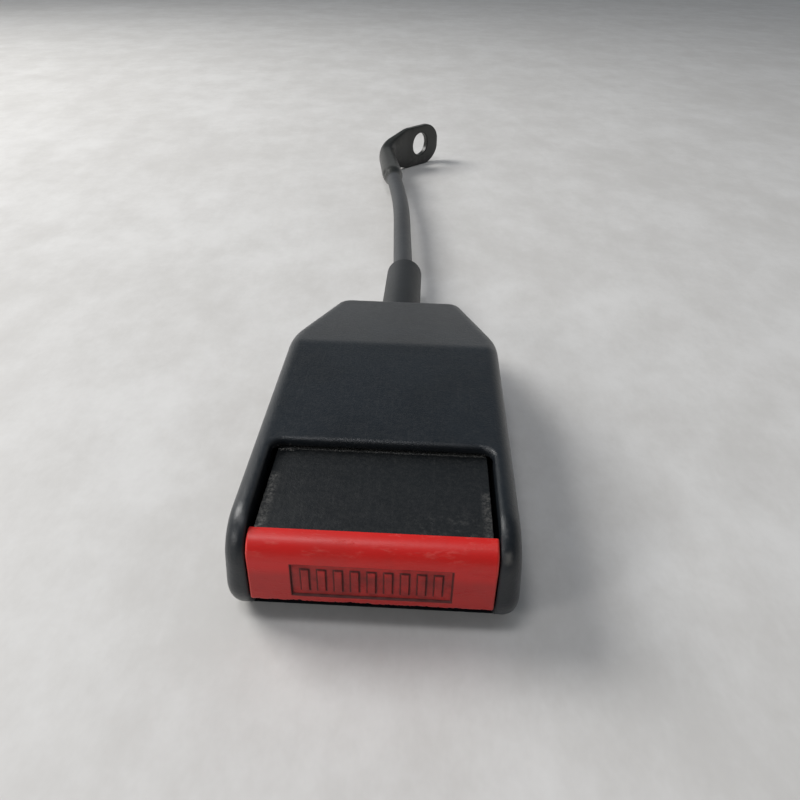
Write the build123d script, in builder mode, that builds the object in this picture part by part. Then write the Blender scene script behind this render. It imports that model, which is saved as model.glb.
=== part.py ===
from build123d import *

import os
from math import cos, radians, sin, tan

# Seat belt buckle on a stiff cable stalk, made piece by piece.
#
# Millimetres. +Z is up, +Y runs from the tongue's mouth back along the stalk and +X is to
# the right of someone who faces the mouth. The origin is on the surface that the buckle
# lies on, in the middle of its whole length and width. Lengths along the buckle are
# written as distances back from the mouth, and three planes place every sketch.

os.makedirs("parts", exist_ok=True)

# ---------------------------------------------------------------- driving dimensions

# Whole object
overall_length = 337.6
mouth = -overall_length / 2
stalk_height = 10.0

# Housing: a deep top cover over a shallow bottom cover
housing_width = 57.3
housing_length = 108.0
housing_height = 24.3
tail_width = 38.4
tail_height = 18.7
side_draft = 1.5
shoulder_y = 76.5
crease_y = 70.5
wall = 2.0
floor = 1.5
parting_height = 2.6
rim_radius = 3.2
chin_radius = 10.0
brow_radius = 8.5
crease_radius = 14.0
shoulder_radius = 30.0
tail_corner_radius = 5.0

# Recess in the top cover that shows the button's slider
recess_width = 46.7
recess_length = 28.5
recess_corner_radius = 3.0
cheek_length = 30.5

# Button: a slider panel with a cap across its front
button_travel = 6.0
cap_width = 46.2
cap_height = (6.9, 21.8)
cap_depth = 4.4
cap_wall = 1.8
cap_brow_radius = 4.2
panel_width = 44.2
panel_top = 21.6
panel_thickness = 1.6
panel_end = 48.0

# Pressed steel frame that carries the load from the tongue to the stalk
frame_width = 38.0
frame_steel = 2.0
frame_underside = 1.6
frame_start = 12.0
frame_wall_start = 18.0
frame_wall_end = 58.5
frame_wall_top = 17.0
tail_underside = 6.0
tail_start = 61.0
tail_end = 78.0
tail_half_width = 9.0

# Latch plate, which turns on a pin through the frame's walls
pivot_y = 54.0
pivot_z = 12.0
pivot_radius = 2.0
latch_steel = 2.4
tooth_y = (23.4, 25.8)
tooth_tip = 2.2
tooth_half_width = 5.0
lug_y = 32.0
lug_reach = 16.0
latch_lift = 9.5

# Ejector in the tongue's path
ejector_y = (28.5, 38.0)
ejector_z = (3.9, 8.3)
ejector_travel = 7.5

# Coil springs: axis radius, wire diameter and turns
button_spring_x = 22.0
button_spring_z = 12.0
button_spring_y = (36.0, 52.0)
ejector_spring_z = 6.1
latch_spring_y = 46.5
latch_spring_z = (13.2, 18.0)

# Stalk: wire rope in a plastic sheath, swaged into a steel terminal at each end
rope_radius = 2.4
sheath_radius = 3.5
bore_gap = 0.05
rivet_y = 71.0
terminal_end = 102.0
sheathed_end = 9.0
rope_grip = 22.0
sleeve_end = 146.2

# Anchor terminal: a tube that is flattened into a blade with the bolt hole
barrel_radius = 4.9
bolt_hole_radius = 6.0
bolt_hole_x = 0.5
bolt_hole_y = 325.0
bolt_hole_z = 11.5
blade_heading = 50.0
blade_height = 21.3
blade_thickness = 3.0


def level(z):
    """Horizontal plane at height z: local x to the right, local y back from the mouth."""
    return Plane(origin=(0, mouth, z), x_dir=(1, 0, 0), z_dir=(0, 0, 1))


def side(x):
    """Upright plane along the buckle at x: local x back from the mouth, local y up."""
    return Plane(origin=(x, mouth, 0), x_dir=(0, 1, 0), z_dir=(1, 0, 0))


def across(y):
    """Upright plane across the buckle, y back from the mouth: local x right, local y up."""
    return Plane(origin=(0, mouth + y, 0), x_dir=(1, 0, 0), z_dir=(0, -1, 0))


# ---------------------------------------------------------------- housing form


def plan_outline(inset, lean):
    """The housing from above: parallel sides, drawn in by lean, and shoulders to the tail."""
    half = housing_width / 2 - lean
    half_tail = tail_width / 2 - lean
    with BuildSketch() as plan:
        with BuildLine():
            Polyline(
                (-half, 0),
                (half, 0),
                (half, shoulder_y),
                (half_tail, housing_length),
                (-half_tail, housing_length),
                (-half, shoulder_y),
                close=True,
            )
        make_face()
        corners = plan.vertices().group_by(Axis.Y)
        fillet(corners[1], shoulder_radius)
        corners = plan.vertices().group_by(Axis.Y)
        fillet(corners[-1], tail_corner_radius)
        if inset:
            offset(amount=-inset)
    return plan.sketch_local


def side_outline(inset):
    """The housing from the side: round chin and brow, flat top, then a slope to the tail."""
    with BuildSketch() as profile:
        with BuildLine():
            Polyline(
                (0, 0),
                (housing_length, 0),
                (housing_length, tail_height),
                (crease_y, housing_height),
                (0, housing_height),
                close=True,
            )
        make_face()
        for y, z, radius in (
            (0, 0, chin_radius),
            (0, housing_height, brow_radius),
            (crease_y, housing_height, crease_radius),
        ):
            fillet(profile.vertices().sort_by_distance((y, z, 0))[0], radius)
        if inset:
            offset(amount=-inset)
    return profile.sketch_local


def moulding(inset):
    """The solid that lies inset from the housing's skin, its edges still sharp."""
    with BuildPart() as block:
        with BuildSketch(level(0)):
            add(plan_outline(inset, 0))
        with BuildSketch(level(housing_height)):
            add(plan_outline(inset, side_draft))
        loft()
        with BuildSketch(side(0)):
            add(side_outline(inset))
        extrude(amount=housing_width, both=True, mode=Mode.INTERSECT)
    return block.part


def on_rim(edge):
    """True for the edges where the housing's sides and tail meet its top, front and base."""
    middle = edge.position_at(0.5)
    run = edge.tangent_at(0.5)
    is_tail_seam = abs(run.X) > 0.99 and middle.Y < mouth + housing_length - 1
    is_side_seam = abs(run.Z) > 0.99 and middle.Y > mouth + 1
    return not (is_tail_seam or is_side_seam)


with BuildPart() as housing:
    add(moulding(0))
    fillet(housing.edges().filter_by(on_rim), rim_radius)

# ---------------------------------------------------------------- top cover

recess_half = recess_width / 2
inner_half = housing_width / 2 - wall
roof_underside = housing_height - wall
sleeve_hole_radius = 5.3
snap_places = (60.0, 71.0)
snap_z = (6.0, 8.2)

with BuildPart() as top_hollow:
    add(moulding(wall))
    with BuildSketch(level(0)):
        with Locations((0, cheek_length / 2)):
            Rectangle(housing_width, cheek_length)
    extrude(amount=housing_height, mode=Mode.SUBTRACT)

with BuildPart() as top_cover:
    add(housing)
    split(bisect_by=Plane.XY.offset(parting_height), keep=Keep.TOP)
    # recess, open to the front, with round inner corners
    with BuildSketch(level(parting_height)) as recess:
        with Locations((0, recess_length / 2 - 5)):
            Rectangle(recess_width, recess_length + 10)
        fillet(recess.vertices().group_by(Axis.Y)[-1], recess_corner_radius)
    extrude(amount=housing_height, mode=Mode.SUBTRACT)
    lip = top_cover.edges(Select.LAST).filter_by(
        lambda edge: edge.center().Z > housing_height - 3 or edge.center().Y < mouth + 1
    )
    fillet(lip.filter_by(lambda edge: abs(edge.center().X) < recess_half + 0.1), 0.45)
    # way for the slider under the roof, and the hollow behind the cheeks
    with BuildSketch(level(parting_height)):
        with Locations((0, cheek_length)):
            Rectangle(recess_width, 2 * (cheek_length - 20))
    extrude(amount=roof_underside - parting_height, mode=Mode.SUBTRACT)
    add(top_hollow, mode=Mode.SUBTRACT)
    # arch over the stalk's sleeve
    with BuildSketch(across(housing_length - 2 * wall)):
        with Locations((0, stalk_height)):
            Circle(sleeve_hole_radius)
        with Locations((0, stalk_height / 2)):
            Rectangle(2 * sleeve_hole_radius, stalk_height)
    extrude(amount=-3 * wall, mode=Mode.SUBTRACT)
    # ribs that hold the frame's walls down
    with BuildSketch(level(frame_wall_top + 0.2)):
        with Locations((-17.6, 56.6), (17.6, 56.6)):
            Rectangle(2.4, 3)
    extrude(amount=roof_underside - frame_wall_top)
    # cross ribs behind the mechanism, which stiffen the sloping roof
    with BuildSketch(side(-15)) as rib_profile:
        with BuildLine():
            Polyline((83.5, 19.2), (85, 19.2), (85, 21.6), (83.5, 21.6), close=True)
            Polyline((95.5, 18.2), (97, 18.2), (97, 19.4), (95.5, 19.4), close=True)
        make_face()
    extrude(amount=30)
    # pockets that the bottom cover's snap hooks spring into
    for x in (-inner_half, inner_half):
        with BuildSketch(level(snap_z[0])):
            with Locations(*[(x, y) for y in snap_places]):
                Rectangle(1.8, 7)
        extrude(amount=snap_z[1] - snap_z[0], mode=Mode.SUBTRACT)

top_cover.part.label = "top_cover"
export_step(top_cover.part, "parts/top_cover.step")

# ---------------------------------------------------------------- bottom cover

rail_x = (19.6, 23.0)
rail_low_top = 6.6
rail_top = 8.7
mouth_lip_end = 8.0
spring_post_x = (20.7, 24.6)
spring_post_top = 15.0

with BuildPart() as bottom_cover:
    add(housing)
    split(bisect_by=Plane.XY.offset(parting_height), keep=Keep.BOTTOM)
    # pan behind the mouth's lip
    with BuildSketch(level(floor)):
        add(plan_outline(wall + 0.6, 0))
        with Locations((0, mouth_lip_end / 2)):
            Rectangle(housing_width, mouth_lip_end, mode=Mode.SUBTRACT)
    extrude(amount=housing_height, mode=Mode.SUBTRACT)
    # ramp from the lip up to the frame's floor
    with BuildSketch(side(-rail_x[0])):
        with BuildLine():
            Polyline((7.5, floor), (7.5, parting_height), (11.8, 3.5), (11.8, floor), close=True)
        make_face()
    extrude(amount=2 * rail_x[0])
    for x in (-1, 1):
        # rail beside the tongue's path, stepped down under the button's cap
        with BuildSketch(side(x * rail_x[0])) as rail:
            with BuildLine():
                Polyline(
                    (4.5, floor),
                    (4.5, rail_low_top),
                    (11.5, rail_low_top),
                    (13.5, rail_top),
                    (44, rail_top),
                    (44, floor),
                    close=True,
                )
            make_face()
            fillet(rail.vertices().sort_by_distance((4.5, rail_low_top, 0))[0], 2)
        extrude(amount=x * (rail_x[1] - rail_x[0]))
        # post and spigot behind each button spring
        with BuildSketch(level(floor)):
            with Locations((x * sum(spring_post_x) / 2, 53.2)):
                Rectangle(spring_post_x[1] - spring_post_x[0], 2.4)
        extrude(amount=spring_post_top - floor)
        with BuildSketch(across(52.5)):
            with Locations((x * button_spring_x, button_spring_z)):
                Circle(1.25)
        extrude(amount=2.8)
        # snap hooks
        for y in snap_places:
            with BuildSketch(across(y - 2.5)):
                with BuildLine():
                    Polyline(
                        (x * 24.5, floor),
                        (x * 25.7, floor),
                        (x * 25.7, snap_z[0] + 0.2),
                        (x * 26.8, snap_z[0] + 0.2),
                        (x * 25.5, snap_z[1] + 1.6),
                        (x * 24.5, snap_z[1] + 1.6),
                        close=True,
                    )
                make_face()
            extrude(amount=-5)
    # pegs that locate the frame
    with BuildSketch(level(floor)):
        with Locations((-12, 45), (12, 45)):
            Circle(1.9)
    extrude(amount=2.4)
    # saddle that closes the arch under the stalk's sleeve
    with BuildSketch(across(housing_length - wall)):
        with Locations((0, (parting_height + stalk_height) / 2)):
            Rectangle(2 * sleeve_hole_radius - 0.2, stalk_height - parting_height)
        with Locations((0, stalk_height)):
            Circle(sleeve_hole_radius - 0.05, mode=Mode.SUBTRACT)
    extrude(amount=-wall)

bottom_cover.part.label = "bottom_cover"
export_step(bottom_cover.part, "parts/bottom_cover.step")

# ---------------------------------------------------------------- button cap

cap_label_width = 30.0
cap_label_z = (8.7, 16.3)
cap_rib_count = 9
cap_rib_pitch = 3.1

with BuildPart() as button_cap:
    with BuildSketch(side(0)) as cap_profile:
        with BuildLine():
            Polyline(
                (0, cap_height[0]),
                (cap_depth, cap_height[0]),
                (cap_depth, cap_height[1]),
                (0, cap_height[1]),
                close=True,
            )
        make_face()
    extrude(amount=cap_width / 2, both=True)
    front_edges = button_cap.edges().filter_by(Axis.X).group_by(Axis.Y)[0]
    fillet(front_edges.sort_by(Axis.Z)[-1], cap_brow_radius)
    fillet(button_cap.faces().sort_by(Axis.Y)[0].edges().sort_by(Axis.Z)[0], 0.8)
    ends = button_cap.faces().filter_by(Axis.X)
    fillet(ends.edges().filter_by(lambda edge: edge.center().Y < mouth + cap_depth - 0.1), 0.6)
    # hollow back, which the slider's nose fills
    back = button_cap.faces().sort_by(Axis.Y)[-1]
    offset(amount=-cap_wall, openings=back)
    # shallow panel on the front, with a row of plain upright grip ribs
    with BuildSketch(across(0.5)):
        with Locations((0, sum(cap_label_z) / 2)):
            Rectangle(cap_label_width, cap_label_z[1] - cap_label_z[0])
            with GridLocations(cap_rib_pitch, 0, cap_rib_count, 1):
                Rectangle(1.7, 4.8, mode=Mode.SUBTRACT)
    extrude(amount=2, mode=Mode.SUBTRACT)

button_cap.part.label = "button_cap"
export_step(button_cap.part, "parts/button_cap.step")

# ---------------------------------------------------------------- button slider

panel_half = panel_width / 2
panel_underside = panel_top - panel_thickness
skirt_inner = 20.6
skirt_bottom = 9.0
skirt_end = 36.0
nose_inset = cap_width / 2 - cap_wall
arm_x = (13.4, 15.2)
arm_y = (22.2, 36.0)
arm_bottom = 8.4
cam_half_width = 1.95
lug_radius = pivot_y - lug_y
lug_lift = lug_radius * sin(radians(latch_lift))
cam_run = button_travel - lug_radius * (1 - cos(radians(latch_lift)))

with BuildPart() as button_slider:
    # panel
    with BuildSketch(level(panel_underside)) as panel:
        with Locations((0, (cap_depth + panel_end) / 2)):
            Rectangle(panel_width, panel_end - cap_depth)
        fillet(panel.vertices().group_by(Axis.Y)[-1], 4)
    extrude(amount=panel_thickness)
    # nose that plugs into the cap
    with BuildSketch(side(0)) as nose:
        with BuildLine():
            Polyline(
                (cap_wall, cap_height[0] + cap_wall),
                (cap_depth + 1.2, cap_height[0] + cap_wall),
                (cap_depth + 1.2, cap_height[1] - cap_wall),
                (cap_wall, cap_height[1] - cap_wall),
                close=True,
            )
        make_face()
        fillet(nose.vertices().sort_by_distance((cap_wall, cap_height[1], 0))[0], 2.4)
    extrude(amount=nose_inset, both=True)
    for x in (-1, 1):
        # skirt that runs on the bottom cover's rail
        with BuildSketch(side(x * skirt_inner)):
            with BuildLine():
                Polyline(
                    (cap_depth, skirt_bottom),
                    (skirt_end, skirt_bottom),
                    (skirt_end, panel_top - 0.4),
                    (cap_depth, panel_top - 0.4),
                    close=True,
                )
            make_face()
        extrude(amount=x * (panel_half - skirt_inner))
        # heel: forward stop behind the cheek, and the seat of the button spring
        with BuildSketch(level(skirt_bottom + 0.6)):
            with Locations((x * 22.25, (cheek_length + 0.3 + skirt_end) / 2)):
                Rectangle(5.3, skirt_end - cheek_length - 0.3)
        extrude(amount=5.6)
        with BuildSketch(across(skirt_end)):
            with Locations((x * button_spring_x, button_spring_z)):
                Circle(1.25)
        extrude(amount=-2.8)
        # arm with the sloping cam slot that lifts the latch's lug
        with BuildSketch(side(x * arm_x[0])) as arm:
            with BuildLine():
                Polyline(
                    (arm_y[0], arm_bottom + 4),
                    (arm_y[0] + 4, arm_bottom),
                    (arm_y[1], arm_bottom),
                    (arm_y[1], panel_underside + 0.5),
                    (arm_y[0], panel_underside + 0.5),
                    close=True,
                )
            make_face()
            cam_middle = (lug_y - cam_run / 2, pivot_z + lug_lift / 2)
            SlotCenterPoint(cam_middle, (lug_y, pivot_z), 2 * cam_half_width, mode=Mode.SUBTRACT)
        extrude(amount=x * (arm_x[1] - arm_x[0]))

button_slider.part.label = "button_slider"
export_step(button_slider.part, "parts/button_slider.step")

# ---------------------------------------------------------------- steel frame

frame_half = frame_width / 2
frame_floor = frame_underside + frame_steel
window_y = (21.5, 28.0)
window_half_width = 6.5
bridge_y = (44.0, 49.0)
bridge_seat = 15.8
spring_tab_y = (52.0, 53.6)

with BuildPart() as frame:
    # floor, cranked up at the back to meet the stalk's terminal
    with BuildSketch(side(0)) as strip:
        with BuildLine():
            Polyline(
                (frame_start, frame_underside),
                (56, frame_underside),
                (tail_start, tail_underside),
                (tail_end, tail_underside),
                (tail_end, tail_underside + frame_steel),
                (tail_start - 0.7, tail_underside + frame_steel),
                (55.2, frame_floor),
                (frame_start, frame_floor),
                close=True,
            )
        make_face()
        fillet(strip.vertices().sort_by_distance((frame_start, frame_floor, 0))[:2], 0.7)
    extrude(amount=frame_half, both=True)
    # tail narrowed to the terminal's eye
    with BuildSketch(level(0)) as trim:
        with BuildLine():
            Polyline(
                (tail_half_width, frame_wall_end + 4),
                (frame_half - 2, frame_wall_end - 2),
                (frame_half + 1, frame_wall_end - 2),
                (frame_half + 1, tail_end + 1),
                (tail_half_width, tail_end + 1),
                close=True,
            )
        make_face()
        mirror(about=Plane.YZ)
    extrude(amount=frame_wall_top, mode=Mode.SUBTRACT)
    # upright walls with slots for the ejector's ears and seats for the spring bridge
    for x in (-1, 1):
        with BuildSketch(side(x * (frame_half - frame_steel))) as cheek:
            with BuildLine():
                Polyline(
                    (frame_wall_start, frame_underside),
                    (frame_wall_start, 9),
                    (27, frame_wall_top),
                    (frame_wall_end, frame_wall_top),
                    (frame_wall_end, 9),
                    (56, frame_underside),
                    close=True,
                )
            make_face()
            fillet(cheek.vertices().filter_by(lambda v: v.Y > 8), 3)
            with Locations(((bridge_y[0] + bridge_y[1]) / 2, frame_wall_top)):
                seat_depth = frame_wall_top - bridge_seat
                Rectangle(5.1, 2 * seat_depth, mode=Mode.SUBTRACT)
            with Locations((pivot_y, pivot_z)):
                Circle(pivot_radius + bore_gap, mode=Mode.SUBTRACT)
            with Locations(((29.7 + 43.8) / 2, 6.1)):
                SlotOverall(43.8 - 29.7, 2.2, mode=Mode.SUBTRACT)
        extrude(amount=x * frame_steel)
    # window for the latch's tooth, peg holes and rivet hole
    with BuildSketch(level(0)) as openings:
        with Locations((0, sum(window_y) / 2)):
            RectangleRounded(2 * window_half_width, window_y[1] - window_y[0], 1)
        with Locations((-12, 45), (12, 45)):
            Circle(2)
        with Locations((0, rivet_y)):
            Circle(3 + bore_gap)
        with Locations((0, 54.6)):
            Rectangle(6.6, 2)
    extrude(amount=tail_underside + frame_steel, mode=Mode.SUBTRACT)
    # tab bent up from the floor, with a spigot for the ejector's spring
    with BuildSketch(level(frame_underside)):
        with Locations((0, sum(spring_tab_y) / 2)):
            Rectangle(6, spring_tab_y[1] - spring_tab_y[0])
    extrude(amount=6.0)
    with BuildSketch(across(spring_tab_y[0] + 0.2)):
        with Locations((0, ejector_spring_z)):
            Circle(1.15)
    extrude(amount=2.2)

frame.part.label = "frame"
export_step(frame.part, "parts/frame.step")

# ---------------------------------------------------------------- latch and its pin

knuckle_radius = 4.0
knuckle_half_width = 16.5
plate_half_width = 9.0
latch_top = pivot_z + latch_steel / 2
latch_underside = pivot_z - latch_steel / 2

with BuildPart() as latch_plate:
    # plate and hooked tooth, whose ramp lets an incoming tongue lift it
    with BuildSketch(side(0)) as hook:
        with BuildLine():
            Polyline(
                (tooth_y[0], latch_top),
                (tooth_y[0], tooth_tip + 4),
                (tooth_y[1] - 0.6, tooth_tip),
                (tooth_y[1], tooth_tip),
                (tooth_y[1], latch_underside),
                (pivot_y, latch_underside),
                (pivot_y, latch_top),
                close=True,
            )
        make_face()
        fillet(hook.vertices().sort_by_distance((tooth_y[0], latch_top, 0))[0], 2)
    extrude(amount=plate_half_width, both=True)
    # narrower tooth
    with BuildSketch(across(tooth_y[0] - 1)):
        with Locations((-8, latch_underside / 2), (8, latch_underside / 2)):
            Rectangle(2 * (8 - tooth_half_width), latch_underside)
    extrude(amount=-5, mode=Mode.SUBTRACT)
    # lugs that run in the slider's cam slots
    with BuildSketch(level(latch_underside)):
        with Locations((0, lug_y)):
            Rectangle(2 * lug_reach, latch_steel)
    extrude(amount=latch_steel)
    # knuckle rolled round the pin
    with BuildSketch(side(0)):
        with Locations((pivot_y, pivot_z)):
            Circle(knuckle_radius)
    extrude(amount=knuckle_half_width, both=True)
    with BuildSketch(side(0)):
        with Locations((pivot_y, pivot_z)):
            Circle(pivot_radius + bore_gap)
    extrude(amount=knuckle_half_width, both=True, mode=Mode.SUBTRACT)
    # shallow seat for the latch spring
    with BuildSketch(level(latch_top - 0.3)):
        with Locations((0, latch_spring_y)):
            Circle(2.9)
            Circle(1.5, mode=Mode.SUBTRACT)
    extrude(amount=1, mode=Mode.SUBTRACT)

latch_plate.part.label = "latch_plate"
export_step(latch_plate.part, "parts/latch_plate.step")

pin_reach = frame_half + 1.4

with BuildPart() as latch_pivot_pin:
    with BuildSketch(side(-frame_half)) as pin_end:
        with Locations((pivot_y, pivot_z)):
            Circle(pivot_radius)
    extrude(amount=frame_width + 1.4)
    with BuildSketch(side(-frame_half)):
        with Locations((pivot_y, pivot_z)):
            Circle(3)
    extrude(amount=-1.1)
    chamfer(latch_pivot_pin.edges().sort_by(Axis.X)[-1], 0.3)
    # groove for the retaining clip
    with BuildSketch(side(frame_half)):
        with Locations((pivot_y, pivot_z)):
            Circle(pivot_radius + 1)
            Circle(pivot_radius - 0.4, mode=Mode.SUBTRACT)
    extrude(amount=0.6, mode=Mode.SUBTRACT)

latch_pivot_pin.part.label = "latch_pivot_pin"
export_step(latch_pivot_pin.part, "parts/latch_pivot_pin.step")

with BuildPart() as pivot_clip:
    with BuildSketch(side(frame_half)):
        with Locations((pivot_y, pivot_z)):
            Circle(3.4)
            Circle(pivot_radius - 0.4, mode=Mode.SUBTRACT)
        with Locations((pivot_y + 2, pivot_z)):
            Rectangle(4, 2.2, mode=Mode.SUBTRACT)
    extrude(amount=0.6)

pivot_clip.part.label = "pivot_clip"
export_step(pivot_clip.part, "parts/pivot_clip.step")

# ---------------------------------------------------------------- ejector

with BuildPart() as ejector:
    with BuildSketch(side(0)) as sled:
        with BuildLine():
            Polyline(
                (ejector_y[0], ejector_z[0]),
                (ejector_y[1], ejector_z[0]),
                (ejector_y[1], ejector_z[1]),
                (ejector_y[0] + 1.6, ejector_z[1]),
                (ejector_y[0], ejector_z[1] - 1.6),
                close=True,
            )
        make_face()
    extrude(amount=12, both=True)
    # ears in the slots of the frame's walls
    with BuildSketch(level(5.3)):
        with Locations((0, 33)):
            Rectangle(37, 5.6)
    extrude(amount=1.6)
    # lightening pockets and a central rib under the sled
    with BuildSketch(level(ejector_z[0])):
        with Locations((-6.6, 33.6), (6.6, 33.6)):
            Rectangle(8, 6)
    extrude(amount=1.1, mode=Mode.SUBTRACT)
    # spigot for its spring
    with BuildSketch(across(ejector_y[1])):
        with Locations((0, ejector_spring_z)):
            Circle(1.15)
    extrude(amount=-3)

ejector.part.label = "ejector"
export_step(ejector.part, "parts/ejector.step")

# ---------------------------------------------------------------- spring bridge and springs

with BuildPart() as spring_bridge:
    with BuildSketch(across(bridge_y[0])) as hat:
        with BuildLine():
            Polyline(
                (-frame_half, bridge_seat),
                (-10.5, bridge_seat),
                (-8, latch_spring_z[1]),
                (8, latch_spring_z[1]),
                (10.5, bridge_seat),
                (frame_half, bridge_seat),
                (frame_half, bridge_seat + 1.4),
                (11.2, bridge_seat + 1.4),
                (8.7, latch_spring_z[1] + 1.4),
                (-8.7, latch_spring_z[1] + 1.4),
                (-11.2, bridge_seat + 1.4),
                (-frame_half, bridge_seat + 1.4),
                close=True,
            )
        make_face()
    extrude(amount=-(bridge_y[1] - bridge_y[0]))

spring_bridge.part.label = "spring_bridge"
export_step(spring_bridge.part, "parts/spring_bridge.step")


def coil(start, axis, length, turns, axis_radius, wire):
    """Compression spring from start along axis, its wire's centre on a helix."""
    with BuildPart() as spring:
        with BuildLine() as wire_line:
            height = length - wire
            Helix(height / turns, height, axis_radius, center=start, direction=axis)
        with BuildSketch(Plane(origin=wire_line.line @ 0, z_dir=wire_line.line % 0)):
            RegularPolygon(wire / 2, 8)
        sweep(path=wire_line.line, is_frenet=True)
    return spring.part


button_spring_length = button_spring_y[1] - button_spring_y[0]
for name, x in (("button_spring_left", -button_spring_x), ("button_spring_right", button_spring_x)):
    button_spring = coil(
        start=(x, mouth + button_spring_y[0] + 0.35, button_spring_z),
        axis=(0, 1, 0),
        length=button_spring_length,
        turns=7,
        axis_radius=1.95,
        wire=0.7,
    )
    button_spring.label = name
    export_step(button_spring, f"parts/{name}.step")

latch_spring = coil(
    start=(0, mouth + latch_spring_y, latch_spring_z[0]),
    axis=(0, 0, 1),
    length=latch_spring_z[1] - latch_spring_z[0] + 0.3,
    turns=4,
    axis_radius=2.2,
    wire=0.6,
)
latch_spring.label = "latch_spring"
export_step(latch_spring, "parts/latch_spring.step")

ejector_spring = coil(
    start=(0, mouth + ejector_y[1] + 0.3, ejector_spring_z),
    axis=(0, 1, 0),
    length=spring_tab_y[0] - ejector_y[1],
    turns=7,
    axis_radius=1.6,
    wire=0.6,
)
ejector_spring.label = "ejector_spring"
export_step(ejector_spring, "parts/ejector_spring.step")

# ---------------------------------------------------------------- stalk

with BuildLine() as stalk_route:
    first_run = Line((0, mouth + 88, stalk_height), (0, mouth + 122, stalk_height))
    first_bend = JernArc(first_run @ 1, first_run % 1, radius=600, arc_size=3.0)
    middle_run = Line(first_bend @ 1, first_bend @ 1 + 48 * (first_bend % 1))
    last_bend = JernArc(middle_run @ 1, middle_run % 1, radius=500, arc_size=5.8)
    sheathed_run = Line(last_bend @ 1, last_bend @ 1 + sheathed_end * (last_bend % 1))
    last_run = Line(sheathed_run @ 1, sheathed_run @ 1 + rope_grip * (last_bend % 1))
# plastic sheath from the inner terminal to the barrel of the anchor terminal
with BuildLine() as sheath_route:
    sheath_run = Line((0, mouth + terminal_end, stalk_height), first_run @ 1)
    add(first_bend)
    add(middle_run)
    add(last_bend)
    add(sheathed_run)

with BuildPart() as cable_sheath:
    with BuildSketch(Plane(origin=sheath_route.line @ 0, z_dir=sheath_route.line % 0)):
        Circle(sheath_radius)
        Circle(rope_radius + bore_gap, mode=Mode.SUBTRACT)
    sweep(path=sheath_route.line)

cable_sheath.part.label = "cable_sheath"
export_step(cable_sheath.part, "parts/cable_sheath.step")

with BuildPart() as cable_core:
    with BuildSketch(Plane(origin=stalk_route.line @ 0, z_dir=stalk_route.line % 0)):
        Circle(rope_radius)
    sweep(path=stalk_route.line)

cable_core.part.label = "cable_core"
export_step(cable_core.part, "parts/cable_core.step")

# inner terminal: a tube swaged on the rope and flattened into an eye
eye_half_width = 8.0
eye_underside = tail_underside + frame_steel
eye_thickness = 2 * (stalk_height - eye_underside)

with BuildPart() as inner_terminal:
    with BuildSketch(level(eye_underside)):
        with Locations((0, rivet_y)):
            Circle(eye_half_width)
        with Locations((0, (rivet_y + tail_end) / 2)):
            Rectangle(2 * eye_half_width, tail_end - rivet_y)
    extrude(amount=eye_thickness)
    for y, width, height in ((tail_end, 16, eye_thickness), (82, 13, 6.4), (88, 9.5, 9.5)):
        with BuildSketch(across(y)):
            with Locations((0, stalk_height)):
                RectangleRounded(width, height, height / 2 - 0.05)
    loft()
    with BuildSketch(across(88)):
        with Locations((0, stalk_height)):
            Circle(4.75)
    extrude(amount=-(terminal_end - 88))
    with BuildSketch(across(88)):
        with Locations((0, stalk_height)):
            Circle(rope_radius + bore_gap)
    extrude(amount=-(terminal_end - 88), mode=Mode.SUBTRACT)
    with BuildSketch(level(0)):
        with Locations((0, rivet_y)):
            Circle(3 + bore_gap)
    extrude(amount=housing_height, mode=Mode.SUBTRACT)
    chamfer(inner_terminal.edges().group_by(Axis.Y)[-1].sort_by(SortBy.RADIUS)[-1], 0.6)

inner_terminal.part.label = "inner_terminal"
export_step(inner_terminal.part, "parts/inner_terminal.step")

eye_top = eye_underside + eye_thickness
rivet_shank_radius = 3.0

with BuildPart() as terminal_rivet:
    for z, radius, height in (
        (tail_underside - 1.6, 5.0, 1.6),
        (tail_underside, rivet_shank_radius, eye_top - tail_underside),
        (eye_top, 4.8, 1.8),
    ):
        with BuildSketch(level(z)):
            with Locations((0, rivet_y)):
                Circle(radius)
        extrude(amount=height)
    rivet_rims = terminal_rivet.edges().filter_by(GeomType.CIRCLE).group_by(Axis.Z)
    fillet(rivet_rims[-1], 1.5)
    chamfer(rivet_rims[0], 0.5)

terminal_rivet.part.label = "terminal_rivet"
export_step(terminal_rivet.part, "parts/terminal_rivet.step")

# rubber sleeve, held by a flange inside the housing's tail
sleeve_axis = Axis((0, mouth, stalk_height), (0, 1, 0))
inner_face = housing_length - wall

with BuildPart() as collar_sleeve:
    with BuildSketch(Plane(origin=(0, mouth, stalk_height), x_dir=(0, 1, 0), z_dir=(0, 0, 1))) as sleeve_half:
        with BuildLine():
            Polyline(
                (terminal_end + 0.2, sheath_radius + bore_gap),
                (terminal_end + 0.2, 6.6),
                (inner_face, 6.6),
                (inner_face, sleeve_hole_radius - bore_gap),
                (housing_length, sleeve_hole_radius - bore_gap),
                (housing_length, 6.3),
                (sleeve_end, 6.1),
                (sleeve_end, 3.9),
                (130, 3.8),
                (122, sheath_radius + bore_gap),
                close=True,
            )
        make_face()
        fillet(sleeve_half.vertices().sort_by_distance((sleeve_end, -6.1, 0))[0], 1.6)
    revolve(axis=sleeve_axis)

collar_sleeve.part.label = "collar_sleeve"
export_step(collar_sleeve.part, "parts/collar_sleeve.step")

# ---------------------------------------------------------------- anchor terminal

leg_start = sheathed_run @ 1
leg = last_bend % 1
blade = Vector(cos(radians(blade_heading)), sin(radians(blade_heading)), 0)
bolt_hole = Vector(bolt_hole_x, mouth + bolt_hole_y, bolt_hole_z)
blade_face = Plane(origin=bolt_hole, x_dir=blade, z_dir=(blade.Y, -blade.X, 0))
barrel_length = 12.0
rope_socket = rope_grip + 0.1

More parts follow.
